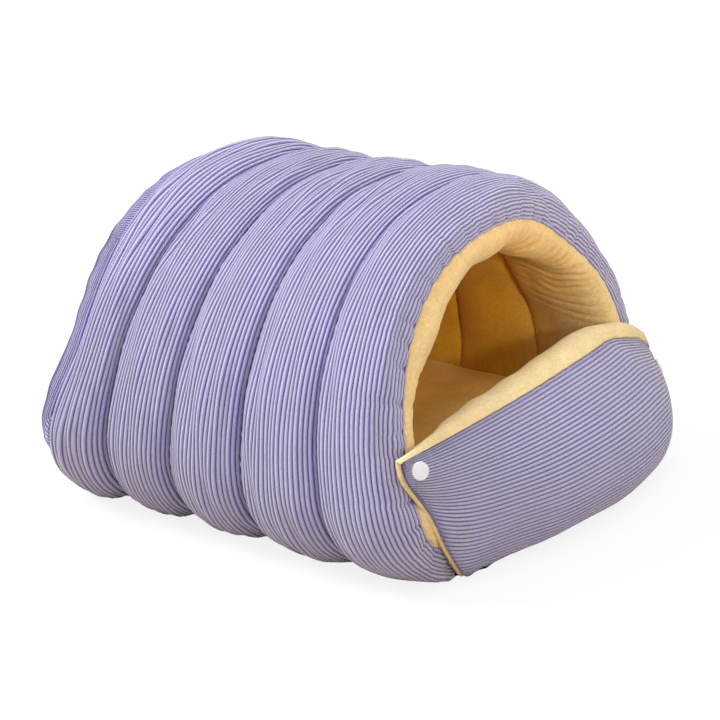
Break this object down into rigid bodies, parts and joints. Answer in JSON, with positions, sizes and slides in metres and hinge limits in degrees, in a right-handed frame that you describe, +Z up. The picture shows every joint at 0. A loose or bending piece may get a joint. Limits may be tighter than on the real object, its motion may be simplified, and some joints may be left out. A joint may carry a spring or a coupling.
{
  "type": "hooded pet bed",
  "caption": "Small hooded bed for a cat or small dog: a padded, channelled tunnel with a closed back, fleece lining, floor cushion and a low flap across its arched doorway.",
  "frame": {"origin": "on the floor, under the middle of the bed's bounding box", "axes": "+Z up, +Y from the doorway to the closed back, +X to the right of someone who looks in through the doorway"},
  "size_m": [0.404, 0.4196, 0.2548],
  "materials": {
    "corduroy_lavender": "wide-wale corduroy, soft pile with a pale sheen along the wales",
    "fleece_yellow": "short plush fleece, matt",
    "base_cloth_dark": "plain woven cloth, matt",
    "snap_white": "moulded cap, satin"
  },
  "bodies": {
    "root": {"hood": "corduroy_lavender", "hood_lining": "fleece_yellow", "back_panel": "corduroy_lavender", "back_lining": "fleece_yellow", "floor_cushion": "fleece_yellow", "base_cloth": "base_cloth_dark", "flap": "corduroy_lavender", "flap_lining": "fleece_yellow", "snap_cap_left": "snap_white", "snap_cap_right": "snap_white"}
  },
  "joints": []
}
